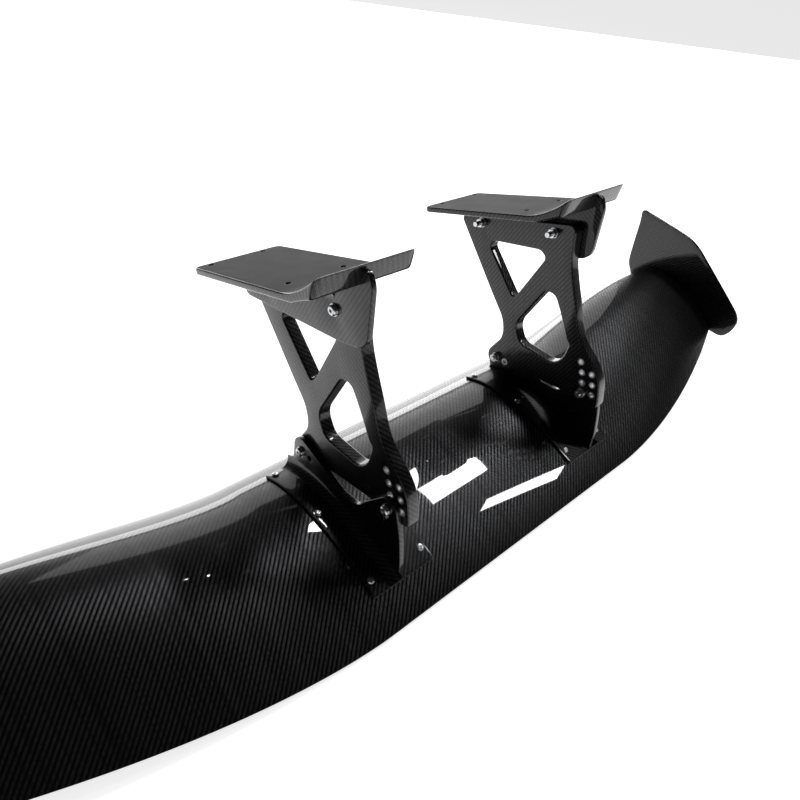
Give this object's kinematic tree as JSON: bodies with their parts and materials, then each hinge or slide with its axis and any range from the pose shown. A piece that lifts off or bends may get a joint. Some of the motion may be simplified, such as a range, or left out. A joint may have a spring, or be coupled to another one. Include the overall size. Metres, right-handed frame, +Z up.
{
  "type": "racing rear wing",
  "caption": "Carbon rear wing blade with end plates on two hinged stands with rows of angle holes and flat trunk plates, stored upside down.",
  "frame": {"origin": "middle of the bounding box's footprint, at floor level, with the wing upside down on its blade as it is stored", "axes": "+X car's left along the span, +Y car's front, +Z up as stored, which is down on the car: turn the wing 180 degrees about Y to fit it"},
  "size_m": [1.6174, 0.44, 0.4478],
  "materials": {
    "gloss_carbon_blade": "clear-coated 2x2 twill carbon laminate",
    "gloss_carbon_plate": "mirror-gloss clear-coated carbon laminate",
    "gloss_carbon_stand": "clear-coated 2x2 twill carbon laminate",
    "core": "bonded core block, hidden",
    "alloy": "turned aluminium",
    "stainless": "bright stainless fasteners"
  },
  "bodies": {
    "wing": {"suction_skin": "gloss_carbon_blade", "pressure_skin": "gloss_carbon_blade", "front_spar": "gloss_carbon_blade", "rear_spar": "gloss_carbon_blade", "mount_blocks_left": "core", "mount_blocks_right": "core", "end_rib_left": "core", "end_rib_right": "core", "bracket_inserts_left": "alloy", "bracket_inserts_right": "alloy", "end_plate_inserts_left": "alloy", "end_plate_inserts_right": "alloy", "end_plate_left": "gloss_carbon_plate", "end_plate_right": "gloss_carbon_plate", "end_plate_screws_left": "stainless", "end_plate_screws_right": "stainless", "bracket_left": "gloss_carbon_stand", "bracket_right": "gloss_carbon_stand", "bracket_screws_left": "stainless", "bracket_screws_right": "stainless", "pivot_bolt_left": "stainless", "pivot_bolt_right": "stainless", "pivot_washers_left": "stainless", "pivot_washers_right": "stainless", "pivot_nut_left": "stainless", "pivot_nut_right": "stainless"},
    "stand_left": {"pillar_left": "gloss_carbon_stand", "pillar_bushes_left": "alloy", "lock_bolt_left": "stainless", "lock_washers_left": "stainless", "lock_nut_left": "stainless", "trunk_mount_left": "gloss_carbon_stand", "trunk_bolts_left": "stainless", "trunk_washers_left": "stainless", "trunk_nuts_left": "stainless"},
    "stand_right": {"pillar_right": "gloss_carbon_stand", "pillar_bushes_right": "alloy", "lock_bolt_right": "stainless", "lock_washers_right": "stainless", "lock_nut_right": "stainless", "trunk_mount_right": "gloss_carbon_stand", "trunk_bolts_right": "stainless", "trunk_washers_right": "stainless", "trunk_nuts_right": "stainless"}
  },
  "joints": [
    {"name": "stand_left_hinge", "type": "hinge", "parent": "wing", "child": "stand_left", "pos_m": [0.215, 0.043, 0.109], "axis": [1, 0, 0], "range_deg": [0, 5.8]},
    {"name": "stand_right_hinge", "type": "hinge", "parent": "wing", "child": "stand_right", "pos_m": [-0.215, 0.043, 0.109], "axis": [1, 0, 0], "range_deg": [0, 5.8]}
  ],
  "couplings": [
    {"joint": "stand_right_hinge", "follows": "stand_left_hinge", "ratio": 1}
  ]
}
